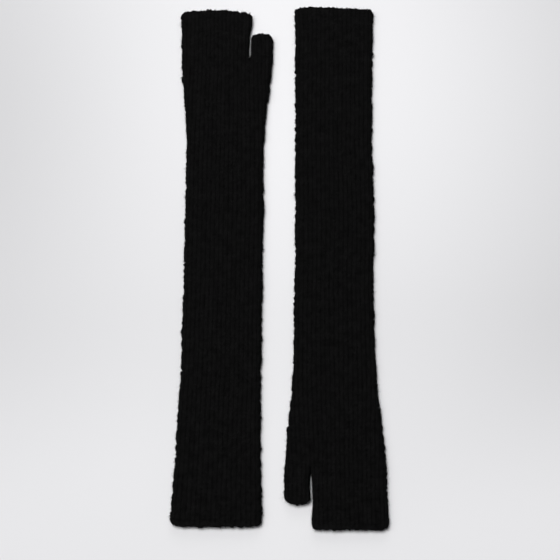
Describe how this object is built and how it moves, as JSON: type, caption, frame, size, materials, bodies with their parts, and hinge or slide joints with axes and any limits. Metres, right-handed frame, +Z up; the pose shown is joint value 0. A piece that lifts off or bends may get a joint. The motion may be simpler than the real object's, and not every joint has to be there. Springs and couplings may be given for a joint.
{
  "type": "pair of fingerless gloves",
  "caption": "Pair of long, elbow-length rib-knit fingerless gloves lying flat, with an open hand end and a short open thumb tube each.",
  "frame": {"origin": "the middle of the pair's outline, on the surface that the gloves lie on", "axes": "+Y along the gloves, towards the left glove's hand opening; +X from the left glove to the right glove; +Z up, away from the surface"},
  "size_m": [0.2172, 0.565, 0.01],
  "materials": {
    "rib_knit": "matte brushed wool, one-by-one rib",
    "cast_off_edge": "matte wool, tight cast-off edge",
    "joining_stitches": "matte wool, linked stitches"
  },
  "bodies": {
    "left_forearm": {"left_forearm_tube": "rib_knit", "left_elbow_welt": "cast_off_edge", "left_forearm_seam": "joining_stitches"},
    "left_hand": {"left_hand_tube": "rib_knit", "left_hand_welt": "cast_off_edge", "left_hand_seam": "joining_stitches"},
    "left_thumb": {"left_thumb_tube": "rib_knit", "left_thumb_join": "joining_stitches", "left_thumb_welt": "cast_off_edge"},
    "right_forearm": {"right_forearm_tube": "rib_knit", "right_elbow_welt": "cast_off_edge", "right_forearm_seam": "joining_stitches"},
    "right_hand": {"right_hand_tube": "rib_knit", "right_hand_welt": "cast_off_edge", "right_hand_seam": "joining_stitches"},
    "right_thumb": {"right_thumb_tube": "rib_knit", "right_thumb_join": "joining_stitches", "right_thumb_welt": "cast_off_edge"}
  },
  "joints": [
    {"name": "left_wrist_bend", "type": "hinge", "parent": "left_forearm", "child": "left_hand", "pos_m": [-0.058, 0.12265, 0.01], "axis": [1, 0, 0], "range_deg": [0, 80]},
    {"name": "left_thumb_swing", "type": "hinge", "parent": "left_hand", "child": "left_thumb", "pos_m": [-0.005, 0.22565, 0], "axis": [0, 0, -1], "range_deg": [0, 40]},
    {"name": "right_wrist_bend", "type": "hinge", "parent": "right_forearm", "child": "right_hand", "pos_m": [0.058, -0.12265, 0.01], "axis": [-1, 0, 0], "range_deg": [0, 80]},
    {"name": "right_thumb_swing", "type": "hinge", "parent": "right_hand", "child": "right_thumb", "pos_m": [0.005, -0.22565, 0], "axis": [0, 0, -1], "range_deg": [0, 40]},
    {"name": "pair_apart", "type": "slide", "parent": "left_forearm", "child": "right_forearm", "axis": [1, 0, 0], "range_m": [0, 0.15]}
  ]
}
